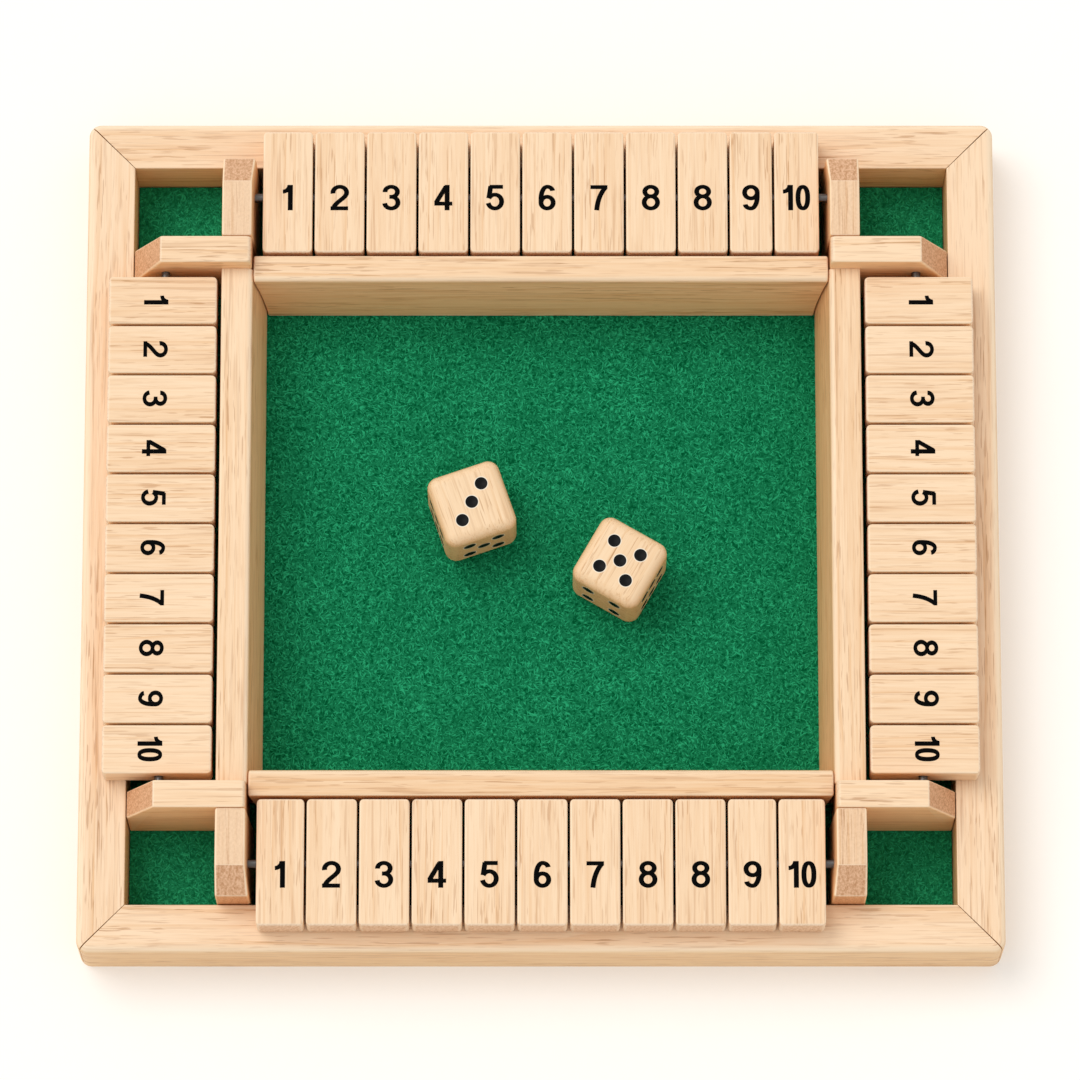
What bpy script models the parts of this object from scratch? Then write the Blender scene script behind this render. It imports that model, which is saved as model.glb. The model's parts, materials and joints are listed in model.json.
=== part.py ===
"""A shut the box game for four players: a wooden tray with a row of hinged number tiles along each side.

Metres, +Z up. The origin is on the underside, at the middle of the base. +X is to the right and +Y to the
back. A mitred frame holds a felt-covered base board. Inner rails fence off the dice tray, and blocks at the
four corners hold a steel rod for each row. Every tile turns on its row's rod: it lies flat on the frame when
its number is open, and leans inwards past upright, its foot against the frame's inner wall, when it is shut.
"""

import math

import bmesh
import bpy
from mathutils import Matrix, Vector

# Outer frame: four mitred rails, rounded at the corners and along the outer top edge.
frame_length = 0.300
frame_depth = 0.280
frame_height = 0.025
frame_rail_width = 0.0155
frame_corner_radius = 0.004
frame_top_round = 0.0025
mitre_gap = 0.0003

# Base board, let into a rabbet in the frame's underside, and the felt glued on it.
board_thickness = 0.0037
board_lap = 0.006
felt_thickness = 0.001

# Clearance between two pieces that rest on, or are glued to, each other.
seat_gap = 0.0003

# How far a cutter runs past what it cuts, and how near two points are one.
overrun = 0.004
weld_distance = 0.000003

# Inner rails round the dice tray: flat top, rounded shoulder, and a moulded face that swells to a wider foot.
# The bend is the power by which the face steepens: 1 is a straight slope, 2 a parabola upright at the foot.
tray_rail_top = 0.036
tray_rail_bend = 1.7
tray_rail_shoulder = 0.002
tray_rail_ease = 0.0007
side_channel_width = 0.0295
side_rail_width = 0.0102
side_rail_spread = 0.0037
long_channel_width = 0.0336
long_rail_width = 0.0086
long_rail_spread = 0.0029

# Corner blocks: one holds the end of a long row's rod, the other the end of a side row's rod.
corner_depth = 0.0375
block_top = 0.042
block_thickness = 0.009
block_chamfer_run = 0.0093
cross_block_drop = 0.017
end_block_drop = 0.005
block_ease = 0.0006
block_step = 0.0002

# Hinge rods of steel wire, in blind bores in the blocks and loose in the tiles.
rod_diameter = 0.003
rod_play = 0.0003
rod_end_ease = 0.0003
bore_depth = 0.007

# Tiles. A row's pitches follow the table of shares, because its last tiles are narrower.
tile_thickness = 0.011
tile_gap = 0.0008
tile_corner_radius = 0.0013
tile_ease = 0.0006
row_end_gap = 0.0028
side_row_end_gap = 0.003
back_tile_shares = (1, 1, 1, 1, 1, 1, 1, 1, 1, 0.86, 0.9)
front_tile_shares = (0.95, 1, 1, 1, 1, 1, 1, 1, 1, 0.96, 0.93)
side_tile_shares = (1,) * 10

# Long rows' tiles: the rod passes a little inside the middle, so that they fall back onto the frame.
long_tile_length = 0.0416
long_tile_inner_reach = 0.0203
long_tile_swing_gap = 0.0011

# Side rows' tiles are shorter, as their channel is.
side_tile_length = 0.0355
side_tile_inner_reach = 0.0172
side_tile_swing_gap = 0.0014

# Dice: rounded cubes with drilled pips, lying turned on the felt.
die_size = 0.0245
die_radius = 0.0038
pip_diameter = 0.0039
pip_depth = 0.0006
pip_offset = 0.0049
die_1_place = (-0.0226, 0.0088)
die_1_turn = math.radians(19)
die_2_place = (0.0258, -0.01105)
die_2_turn = math.radians(-30)

# Facets of the round forms.
corner_segments = 4
shoulder_segments = 4
face_segments = 6
top_round_segments = 3
rod_sides = 16
bore_sides = 12
pip_sides = 12
die_segments = 3

# Heights and widths that follow from the sizes above.
felt_bottom = board_thickness + seat_gap
felt_top = felt_bottom + felt_thickness
foot_height = felt_top + seat_gap
inner_half_length = frame_length / 2 - frame_rail_width
inner_half_depth = frame_depth / 2 - frame_rail_width
side_rail_outer = inner_half_length - side_channel_width
side_rail_inner = side_rail_outer - side_rail_width
side_rail_foot = side_rail_inner - side_rail_spread
long_rail_outer = inner_half_depth - long_channel_width
long_rail_inner = long_rail_outer - long_rail_width
long_block_end = inner_half_depth - seat_gap
side_block_end = inner_half_length - seat_gap
tile_underside = frame_height + seat_gap
axis_height = tile_underside + tile_thickness / 2
long_axis = long_rail_outer + long_tile_swing_gap + long_tile_inner_reach
side_axis = side_rail_outer + side_tile_swing_gap + side_tile_inner_reach
long_row_half = side_rail_inner - row_end_gap
block_front = inner_half_depth - corner_depth
side_row_half = block_front - side_row_end_gap
bore_diameter = rod_diameter + 2 * rod_play

# Colours, as linear red, green and blue.
pine = (0.82, 0.60, 0.38)
pine_light = (0.86, 0.66, 0.44)
plywood = (0.60, 0.42, 0.25)
felt_green = (0.005, 0.16, 0.055)
steel = (0.62, 0.62, 0.62)


def start_clean():
    """Removes what the file opened with and makes the two collections."""
    for thing in list(bpy.data.objects):
        bpy.data.objects.remove(thing, do_unlink=True)
    made = []
    for name in ("shut_the_box", "cutters"):
        collection = bpy.data.collections.new(name)
        bpy.context.scene.collection.children.link(collection)
        made.append(collection)
    return made


parts, cutters = start_clean()


def add_part(name, mesh, colour, roughness, metallic=0.0, place=None):
    """Puts a mesh in the game's collection as a named object with a material of its own."""
    thing = bpy.data.objects.new(name, mesh)
    thing.matrix_world = place or Matrix.Identity(4)
    parts.objects.link(thing)
    finish = bpy.data.materials.new(name + "_finish")
    finish.use_nodes = True
    shader = finish.node_tree.nodes["Principled BSDF"]
    shader.inputs["Base Color"].default_value = (*colour, 1)
    shader.inputs["Roughness"].default_value = roughness
    shader.inputs["Metallic"].default_value = metallic
    mesh.materials.clear()
    mesh.materials.append(finish)
    return thing


def add_cutter(name, mesh, place=None):
    """Puts a mesh among the cutters, which show as wires and are never rendered."""
    thing = bpy.data.objects.new(name, mesh)
    thing.matrix_world = place or Matrix.Identity(4)
    thing.hide_render = True
    thing.display_type = "WIRE"
    cutters.objects.link(thing)
    return thing


def combine(thing, operation, others):
    """Cuts, keeps or joins the others, each by a Boolean modifier."""
    for other in others:
        modifier = thing.modifiers.new(operation.title() + "_" + other.name, "BOOLEAN")
        modifier.operation = operation
        modifier.solver = "EXACT"
        modifier.object = other


def mesh_of(shape, name):
    """Turns a finished bmesh into a mesh."""
    bmesh.ops.recalc_face_normals(shape, faces=shape.faces)
    mesh = bpy.data.meshes.new(name)
    shape.to_mesh(mesh)
    shape.free()
    return mesh


def box_shape(low, high):
    """A box between two corners."""
    low = Vector(low)
    high = Vector(high)
    shape = bmesh.new()
    bmesh.ops.create_cube(shape, size=1)
    bmesh.ops.scale(shape, vec=high - low, verts=shape.verts)
    bmesh.ops.translate(shape, vec=(low + high) / 2, verts=shape.verts)
    return shape


def round_edges(shape, radius, segments, wanted):
    """Rounds the edges for which wanted(edge) is true."""
    edges = [edge for edge in shape.edges if wanted(edge)]
    bmesh.ops.bevel(
        shape,
        geom=edges,
        offset=radius,
        segments=segments,
        profile=0.5,
        affect="EDGES",
        clamp_overlap=True,
    )


def is_upright(edge):
    """True for an edge that runs along Z."""
    along = (edge.verts[1].co - edge.verts[0].co).normalized()
    return abs(along.z) > math.cos(math.radians(1))


def rims(shape, faces_up):
    """A test for the edges round the top (faces_up 1), the bottom (-1) or both (0) flat faces."""

    def on_rim(edge):
        heights = [face.normal.z for face in edge.link_faces]
        level = [h for h in heights if abs(h) > math.cos(math.radians(1))]
        return len(level) == 1 and (faces_up == 0 or level[0] * faces_up > 0)

    shape.normal_update()
    return on_rim


def box_mesh(name, low, high):
    """A plain box as a mesh."""
    return mesh_of(box_shape(low, high), name)


def arc(centre, radius, start, end, segments):
    """Points along an arc in a plane, its angles in degrees, both ends included."""
    points = []
    for step in range(segments + 1):
        angle = math.radians(start + (end - start) * step / segments)
        points.append((centre[0] + radius * math.cos(angle), centre[1] + radius * math.sin(angle)))
    return points


def outline_mesh(name, points, thickness):
    """A flat outline, filled and given half its thickness to each side of its plane, as a closed mesh."""
    curve = bpy.data.curves.new(name, "CURVE")
    curve.dimensions = "2D"
    curve.fill_mode = "BOTH"
    curve.extrude = thickness / 2
    spline = curve.splines.new("POLY")
    spline.points.add(len(points) - 1)
    for point, (across, up) in zip(spline.points, points):
        point.co = (across, up, 0, 1)
    spline.use_cyclic_u = True
    holder = bpy.data.objects.new(name, curve)
    cutters.objects.link(holder)
    bpy.context.view_layer.update()
    evaluated = holder.evaluated_get(bpy.context.evaluated_depsgraph_get())
    raw = bpy.data.meshes.new_from_object(evaluated)
    bpy.data.objects.remove(holder, do_unlink=True)
    bpy.data.curves.remove(curve)
    shape = bmesh.new()
    shape.from_mesh(raw)
    bpy.data.meshes.remove(raw)
    bmesh.ops.remove_doubles(shape, verts=shape.verts, dist=weld_distance)
    bmesh.ops.dissolve_limit(shape, angle_limit=math.radians(0.5), verts=shape.verts, edges=shape.edges)
    return mesh_of(shape, name)


def cylinder_mesh(name, diameter, length, sides, ease=0.0):
    """A cylinder along X, its end edges eased, shaded smooth."""
    shape = bmesh.new()
    bmesh.ops.create_cone(
        shape,
        cap_ends=True,
        segments=sides,
        radius1=diameter / 2,
        radius2=diameter / 2,
        depth=length,
        matrix=Matrix.Rotation(math.radians(90), 4, "Y"),
    )
    if ease:
        caps = [face for face in shape.faces if len(face.verts) == sides]
        edges = {edge for face in caps for edge in face.edges}
        bmesh.ops.bevel(shape, geom=list(edges), offset=ease, segments=1, affect="EDGES")
    mesh = mesh_of(shape, name)
    mesh.shade_smooth()
    mesh.set_sharp_from_angle(angle=math.radians(30))
    return mesh


def make_base():
    """The base board, in the frame's rabbet, and the felt on it, cut to the frame's inner walls."""
    board_x = inner_half_length + board_lap - seat_gap
    board_y = inner_half_depth + board_lap - seat_gap
    board = box_mesh("base_board", (-board_x, -board_y, 0), (board_x, board_y, board_thickness))
    add_part("base_board", board, plywood, 0.7)
    felt_x = inner_half_length - seat_gap
    felt_y = inner_half_depth - seat_gap
    felt = box_mesh("felt_sheet", (-felt_x, -felt_y, felt_bottom), (felt_x, felt_y, felt_top))
    add_part("felt_sheet", felt, felt_green, 0.95)


def mitred_outline(back):
    """Plan of one frame rail's share of the frame, between the mitres: the back's, or the right side's."""
    half_length = frame_length / 2 + overrun
    half_depth = frame_depth / 2 + overrun
    depth = frame_rail_width + 2 * overrun
    half_gap = mitre_gap / math.sqrt(2)
    if back:
        outer = half_length - half_gap
        inner = outer - depth
        return [(-outer, half_depth), (-inner, half_depth - depth), (inner, half_depth - depth), (outer, half_depth)]
    outer = half_depth - half_gap
    inner = outer - depth
    return [
        (half_length, -outer),
        (half_length, outer),
        (half_length - depth, inner),
        (half_length - depth, -inner),
    ]


def make_frame():
    """Four rails: the rounded block, hollowed and rabbeted, and shared out between the mitres."""
    window = box_mesh(
        "frame_window",
        (-inner_half_length, -inner_half_depth, -overrun),
        (inner_half_length, inner_half_depth, frame_height + overrun),
    )
    window = add_cutter("frame_window", window)
    rabbet_x = inner_half_length + board_lap
    rabbet_y = inner_half_depth + board_lap
    rabbet_top = board_thickness + seat_gap
    rabbet = box_mesh("frame_rabbet", (-rabbet_x, -rabbet_y, -overrun), (rabbet_x, rabbet_y, rabbet_top))
    rabbet = add_cutter("frame_rabbet", rabbet)
    lift = Matrix.Translation((0, 0, frame_height / 2))
    half_turn = Matrix.Rotation(math.pi, 4, "Z")
    wedge_height = frame_height + 2 * overrun
    for name, back, turned in (
        ("back", True, False),
        ("front", True, True),
        ("right", False, False),
        ("left", False, True),
    ):
        shape = box_shape((-frame_length / 2, -frame_depth / 2, 0), (frame_length / 2, frame_depth / 2, frame_height))
        round_edges(shape, frame_corner_radius, corner_segments, is_upright)
        round_edges(shape, frame_top_round, top_round_segments, rims(shape, 1))
        rail = add_part("frame_rail_" + name, mesh_of(shape, name), pine, 0.5)
        wedge = outline_mesh(name + "_wedge", mitred_outline(back), wedge_height)
        turn = half_turn if turned else Matrix.Identity(4)
        wedge = add_cutter(name + "_wedge", wedge, turn @ lift)
        combine(rail, "INTERSECT", [wedge])
        combine(rail, "DIFFERENCE", [window, rabbet])


def tray_face(inner, spread, stand_off=0.0):
    """Points down a rail's moulded face, from under its shoulder to its foot, moved off it by stand_off."""
    top = tray_rail_top - tray_rail_shoulder
    points = []
    for step in range(face_segments + 1):
        share = step / face_segments
        swell = spread * (1 - (1 - share) ** tray_rail_bend)
        points.append((inner - stand_off - swell, top + (foot_height - top) * share))
    return points


def rail_outline(outer, inner, spread):
    """Section of an inner rail: x away from the tray's middle, y up. It runs from outer to inner foot."""
    ease = tray_rail_ease
    shoulder = tray_rail_shoulder
    points = [(outer, foot_height)]
    points += arc((outer - ease, tray_rail_top - ease), ease, 0, 90, 2)
    points += arc((inner + shoulder, tray_rail_top - shoulder), shoulder, 90, 180, shoulder_segments)
    points += tray_face(inner, spread)[1:]
    return points


def with_waste(points, depth):
    """A section whose first and last points stand on its foot, with waste below that a later cut takes off."""
    bottom = foot_height - depth
    return [(points[0][0], bottom)] + points + [(points[-1][0], bottom)]


def standing(angle):
    """Stands a section up, so that its x points along the angle in plan and its thickness runs across."""
    return Matrix.Rotation(angle, 4, "Z") @ Matrix.Rotation(math.radians(90), 4, "X")


def make_long_rails():
    """The back and front inner rails. Their ends are scribed to the side rails' moulded faces."""
    face = tray_face(side_rail_inner, side_rail_spread, seat_gap)
    far = side_rail_outer + overrun
    above = tray_rail_top + overrun
    below = foot_height - overrun
    scribe_points = [(far, above), (face[0][0], above)] + face + [(face[-1][0], below), (far, below)]
    scribes = []
    for name, angle in (("right", 0), ("left", math.pi)):
        mesh = outline_mesh(name + "_scribe", scribe_points, frame_depth)
        scribes.append(add_cutter(name + "_scribe", mesh, standing(angle)))
    section = rail_outline(long_rail_outer, long_rail_inner, long_rail_spread)
    for name, angle in (("back", math.pi / 2), ("front", -math.pi / 2)):
        mesh = outline_mesh(name, section, 2 * side_rail_outer)
        rail = add_part("tray_rail_" + name, mesh, pine, 0.5, place=standing(angle))
        combine(rail, "DIFFERENCE", scribes)


def block_mesh(name, thickness, length, top, drop, waste):
    """A corner block: x along it from its inner end, y across. Eased on top, then sawn at a slant at the end."""
    shape = box_shape((0, -thickness / 2, foot_height - waste), (length, thickness / 2, top))
    round_edges(shape, block_ease, 1, rims(shape, 1))
    cut = bmesh.ops.bisect_plane(
        shape,
        geom=shape.verts[:] + shape.edges[:] + shape.faces[:],
        plane_co=(length - block_chamfer_run, 0, top),
        plane_no=(drop, 0, block_chamfer_run),
        clear_outer=True,
    )
    rim = [item for item in cut["geom_cut"] if isinstance(item, bmesh.types.BMEdge)]
    bmesh.ops.contextual_create(shape, geom=rim)
    return mesh_of(shape, name)


def make_side_rails(bores):
    """The left and right inner rails, each with the four corner blocks glued at its ends, sawn level below."""
    section = with_waste(rail_outline(side_rail_outer, side_rail_inner, side_rail_spread), overrun)
    block_start = side_rail_inner + block_step
    across_length = side_block_end - block_start
    along_start = block_front + block_thickness - overrun
    along_length = long_block_end - along_start
    along_thickness = side_rail_width - 4 * block_step
    along_top = block_top - block_step
    saw = box_mesh(
        "foot_saw",
        (-frame_length, -frame_depth, foot_height - 4 * overrun),
        (frame_length, frame_depth, foot_height),
    )
    saw = add_cutter("foot_saw", saw)
    for name, angle in (("right", 0), ("left", math.pi)):
        turn = Matrix.Rotation(angle, 4, "Z")
        mesh = outline_mesh(name, section, 2 * block_front + block_thickness)
        rail = add_part("tray_rail_" + name, mesh, pine, 0.5, place=standing(angle))
        blocks = []
        for end in (-1, 1):
            label = name + ("_back" if end * math.cos(angle) > 0 else "_front")
            sizes = (block_thickness, across_length, block_top, cross_block_drop)
            across = block_mesh(label + "_across", *sizes, 2 * overrun)
            middle = end * (block_front + block_thickness / 2)
            place = turn @ Matrix.Translation((block_start, middle, 0))
            blocks.append(add_cutter(label + "_across", across, place))
            sizes = (along_thickness, along_length, along_top, end_block_drop)
            along = block_mesh(label + "_along", *sizes, 3 * overrun)
            middle = (side_rail_inner + side_rail_outer) / 2
            place = turn @ Matrix.Translation((middle, end * along_start, 0))
            place = place @ Matrix.Rotation(end * math.pi / 2, 4, "Z")
            blocks.append(add_cutter(label + "_along", along, place))
        combine(rail, "UNION", blocks)
        combine(rail, "DIFFERENCE", [saw] + bores)


def make_rods():
    """The four rods, and the long bores that they lie in, cut in blocks and tiles alike."""
    bores = []
    for name, half, reach, angle in (
        ("back", side_rail_inner, long_axis, 0),
        ("front", side_rail_inner, long_axis, math.pi),
        ("left", block_front, side_axis, math.pi / 2),
        ("right", block_front, side_axis, -math.pi / 2),
    ):
        place = Matrix.Rotation(angle, 4, "Z") @ Matrix.Translation((0, reach, axis_height))
        bore_length = 2 * (half + bore_depth)
        rod = cylinder_mesh("rod_" + name, rod_diameter, bore_length - 2 * seat_gap, rod_sides, rod_end_ease)
        add_part("rod_" + name, rod, steel, 0.25, 1.0, place)
        bore = cylinder_mesh(name + "_bore", bore_diameter, bore_length, bore_sides)
        bores.append(add_cutter(name + "_bore", bore, place))
    return bores


def tile_mesh(name, width, length, inner_reach):
    """A tile: x along the rod, y outwards from it. Corners rounded in plan, all rims eased."""
    half = width / 2
    shape = box_shape(
        (-half, -inner_reach, -tile_thickness / 2),
        (half, length - inner_reach, tile_thickness / 2),
    )
    round_edges(shape, tile_corner_radius, 2, is_upright)
    round_edges(shape, tile_ease, 1, rims(shape, 0))
    return mesh_of(shape, name)


def make_row(name, bore, shares, row_half, axis, length, inner_reach, angle, reading):
    """One row of tiles, first to last along the row's reading direction (1 with local x, -1 against it)."""
    unit = 2 * row_half / sum(shares)
    start = -row_half
    for number, share in enumerate(shares, 1):
        pitch = unit * share
        middle = reading * (start + pitch / 2)
        start += pitch
        label = f"{name}_tile_{number:02d}"
        mesh = tile_mesh(label, pitch - tile_gap, length, inner_reach)
        place = Matrix.Rotation(angle, 4, "Z") @ Matrix.Translation((middle, axis, axis_height))
        tile = add_part(label, mesh, pine_light, 0.5, place=place)
        combine(tile, "DIFFERENCE", [bore])


def make_tiles(bores):
    """The four rows. Back and front are read from left to right, the sides from back to front."""
    back, front, left, right = bores
    long_row = (long_row_half, long_axis, long_tile_length, long_tile_inner_reach)
    side_row = (side_row_half, side_axis, side_tile_length, side_tile_inner_reach)
    make_row("back", back, back_tile_shares, *long_row, 0, 1)
    make_row("front", front, front_tile_shares, *long_row, math.pi, -1)
    make_row("left", left, side_tile_shares, *side_row, math.pi / 2, -1)
    make_row("right", right, side_tile_shares, *side_row, -math.pi / 2, 1)


def pip_places(count):
    """Where a face's pips lie, in steps of the pip offset across and up the face."""
    centre = [(0, 0)] if count % 2 else []
    corners = [(-1, -1), (1, 1)] if count > 1 else []
    others = [(-1, 1), (1, -1)] if count > 3 else []
    middles = [(-1, 0), (1, 0)] if count > 5 else []
    return centre + corners + others + middles


def make_die(name, place, turn, top, front, right):
    """A die lying on the felt, its pips counted by the faces that look up, to the front and to the right."""
    half = die_size / 2
    shape = box_shape((-half, -half, -half), (half, half, half))
    round_edges(shape, die_radius, die_segments, lambda edge: True)
    body = mesh_of(shape, name)
    body.shade_smooth()
    body.set_sharp_from_angle(angle=math.radians(40))
    height = foot_height + half
    where = Matrix.Translation((place[0], place[1], height)) @ Matrix.Rotation(turn, 4, "Z")
    die = add_part(name, body, pine_light, 0.4, place=where)
    quarter = math.pi / 2
    faces = (
        (top, Matrix.Identity(4)),
        (7 - top, Matrix.Rotation(math.pi, 4, "X")),
        (front, Matrix.Rotation(quarter, 4, "X")),
        (7 - front, Matrix.Rotation(-quarter, 4, "X")),
        (right, Matrix.Rotation(quarter, 4, "Y")),
        (7 - right, Matrix.Rotation(-quarter, 4, "Y")),
    )
    pips = bmesh.new()
    for count, facing in faces:
        for across, up in pip_places(count):
            offset = Vector((across * pip_offset, up * pip_offset, half))
            bmesh.ops.create_cone(
                pips,
                cap_ends=True,
                segments=pip_sides,
                radius1=pip_diameter / 2,
                radius2=pip_diameter / 2,
                depth=2 * pip_depth,
                matrix=facing @ Matrix.Translation(offset),
            )
    drill = add_cutter(name + "_pips", mesh_of(pips, name + "_pips"), where)
    combine(die, "DIFFERENCE", [drill])


make_base()
make_frame()
make_long_rails()
rod_bores = make_rods()
make_side_rails(rod_bores)
make_tiles(rod_bores)
make_die("die_1", die_1_place, die_1_turn, 3, 5, 1)
make_die("die_2", die_2_place, die_2_turn, 5, 4, 6)
bpy.context.view_layer.update()
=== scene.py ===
import json
import math

import bpy
import numpy as np
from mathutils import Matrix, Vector


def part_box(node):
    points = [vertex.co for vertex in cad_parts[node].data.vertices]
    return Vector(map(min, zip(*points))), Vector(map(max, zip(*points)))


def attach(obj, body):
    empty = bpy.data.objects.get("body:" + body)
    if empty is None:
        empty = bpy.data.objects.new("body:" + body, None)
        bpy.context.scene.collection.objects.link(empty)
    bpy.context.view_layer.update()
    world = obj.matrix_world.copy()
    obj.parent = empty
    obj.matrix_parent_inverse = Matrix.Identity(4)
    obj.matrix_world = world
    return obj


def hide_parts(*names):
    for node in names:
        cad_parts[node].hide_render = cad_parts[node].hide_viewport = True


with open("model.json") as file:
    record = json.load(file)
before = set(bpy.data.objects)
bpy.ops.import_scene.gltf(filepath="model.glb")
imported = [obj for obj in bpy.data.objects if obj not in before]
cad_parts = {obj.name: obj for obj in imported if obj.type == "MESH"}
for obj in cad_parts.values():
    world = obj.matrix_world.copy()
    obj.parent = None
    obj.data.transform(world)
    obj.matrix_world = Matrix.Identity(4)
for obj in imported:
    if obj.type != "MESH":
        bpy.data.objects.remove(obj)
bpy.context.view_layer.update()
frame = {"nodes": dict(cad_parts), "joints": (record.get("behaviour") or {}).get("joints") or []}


# Studio
# A pale paper floor under the game, a bright room all round it, and one broad lamp high at the back left.
# The camera looks down steeply over the front rail, from so far off that upright edges stay nearly parallel.
class Wire:
    """An output of a finish's nodes. Arithmetic on wires adds Math nodes, and node() adds any other kind."""

    def __init__(self, tree, socket=None):
        self.tree = tree
        self.socket = socket

    def node(self, kind, settings=(), inputs=(), output=0):
        """Adds a node, sets its settings, then gives its inputs their values or wires."""
        made = self.tree.nodes.new("ShaderNode" + kind)
        for name, value in dict(settings).items():
            setattr(made, name, value)
        for name, value in dict(inputs).items():
            if isinstance(value, Wire):
                self.tree.links.new(value.socket, made.inputs[name])
            else:
                made.inputs[name].default_value = value
        return Wire(self.tree, made.outputs[output])

    def math(self, operation, first, second=0.0):
        return self.node("Math", {"operation": operation}, {0: first, 1: second})

    def __add__(self, other):
        return self.math("ADD", self, other)

    def __radd__(self, other):
        return self.math("ADD", other, self)

    def __sub__(self, other):
        return self.math("SUBTRACT", self, other)

    def __rsub__(self, other):
        return self.math("SUBTRACT", other, self)

    def __mul__(self, other):
        return self.math("MULTIPLY", self, other)

    def __rmul__(self, other):
        return self.math("MULTIPLY", other, self)

    def __truediv__(self, other):
        return self.math("DIVIDE", self, other)

    def __rtruediv__(self, other):
        return self.math("DIVIDE", other, self)

    def __pow__(self, other):
        return self.math("POWER", self, other)

    def __rpow__(self, other):
        return self.math("POWER", other, self)

    def between(self, low, high):
        """0 where the wire is at low, 1 at high, even between them and level beyond."""
        return self.node("MapRange", {"clamp": True}, {0: self, 1: low, 2: high, 3: 0.0, 4: 1.0})

    def tint(self, first, second):
        """A colour that goes from the first to the second as the wire goes from 0 to 1."""
        return self.node("Mix", {"data_type": "RGBA"}, {0: self, 6: first, 7: second}, output=2)


def daylight(red, green, blue):
    """A colour read on a screen, from 0 to 255, as the share of light that a surface gives back."""
    seen = np.array([red, green, blue]) / 255
    return (*np.where(seen > 0.04045, ((seen + 0.055) / 1.055) ** 2.4, seen / 12.92).tolist(), 1.0)


def new_finish(name, roughness, **constants):
    """An empty finish: its shader, with what is the same all over set on the shader, and a wire to start from."""
    finish = bpy.data.materials.new(name)
    finish.use_nodes = True
    shader = finish.node_tree.nodes["Principled BSDF"]
    shader.inputs["Roughness"].default_value = roughness
    for socket, value in constants.items():
        shader.inputs[socket.replace("_", " ")].default_value = value
    return finish, shader, Wire(finish.node_tree)


def feed(shader, **wires):
    """Leads wires to the shader's sockets, named with _ for a space."""
    for socket, wire in wires.items():
        wire.tree.links.new(wire.socket, shader.inputs[socket.replace("_", " ")])


paper, paper_shader, tap = new_finish("paper", 0.9, Specular_IOR_Level=0.0, Emission_Strength=0.26)
place = tap.node("TexCoord", output="Object")
fleck = tap.node("TexNoise", (), {"Vector": place, "Scale": 260.0, "Detail": 3.0})
feed(paper_shader, Base_Color=fleck.tint(daylight(231, 228, 224), daylight(233, 230, 226)))
paper_shader.inputs["Emission Color"].default_value = daylight(255, 250, 243)

floor_half = 4.0
floor_mesh = bpy.data.meshes.new("floor")
floor_corners = [(-1, -1), (1, -1), (1, 1), (-1, 1)]
floor_mesh.from_pydata([(x * floor_half, y * floor_half, -0.0001) for x, y in floor_corners], [], [(0, 1, 2, 3)])
floor_mesh.materials.append(paper)
floor = bpy.data.objects.new("floor", floor_mesh)
bpy.context.scene.collection.objects.link(floor)

room = bpy.data.worlds.new("room")
bpy.context.scene.world = room
room.use_nodes = True
room.node_tree.nodes["Background"].inputs["Color"].default_value = (1.0, 0.99, 0.975, 1.0)
room.node_tree.nodes["Background"].inputs["Strength"].default_value = 0.73

lamp = bpy.data.objects.new("lamp", bpy.data.lights.new("lamp", "SUN"))
lamp.data.energy = 1.17
lamp.data.angle = math.radians(38)
lamp.data.color = (1.0, 0.985, 0.96)
lamp.rotation_euler = Vector((0.50, -0.36, -1.0)).to_track_quat("-Z", "Y").to_euler()
bpy.context.scene.collection.objects.link(lamp)

camera_distance = 2.3
camera_height_angle = math.radians(75.43)
sensor_width = 36.0
picture_width = 1080
focal_pixels = 7013.4
pixels_per_metre = focal_pixels / camera_distance
aimed_at = Vector((0.0, 0.0, 0.020))
aimed_at_pixel = (540.87, 535.3)
back = Vector((0.0, -math.cos(camera_height_angle), math.sin(camera_height_angle)))
up = Vector((0.0, math.sin(camera_height_angle), math.cos(camera_height_angle)))
aside = (picture_width / 2 - aimed_at_pixel[0]) / pixels_per_metre
above = (aimed_at_pixel[1] - picture_width / 2) / pixels_per_metre
camera = bpy.data.objects.new("camera", bpy.data.cameras.new("camera"))
camera.data.sensor_width = sensor_width
camera.data.lens = sensor_width * pixels_per_metre * camera_distance / picture_width
camera.data.clip_end = 50.0
camera.location = aimed_at + back * camera_distance + Vector((aside, 0, 0)) + up * above
camera.rotation_euler = (math.pi / 2 - camera_height_angle, 0.0, 0.0)
bpy.context.scene.collection.objects.link(camera)
bpy.context.scene.camera = camera
bpy.context.scene.view_settings.view_transform = "Standard"
bpy.context.scene.view_settings.look = "None"


# Outer frame
# Four pine rails, mitred and glued at the corners, rounded along the outer top edge and at the corners in
# plan, with a rabbet underneath for the base board. Sanded, and given one coat of clear satin lacquer.
edge_hold = 0.00015


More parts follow.
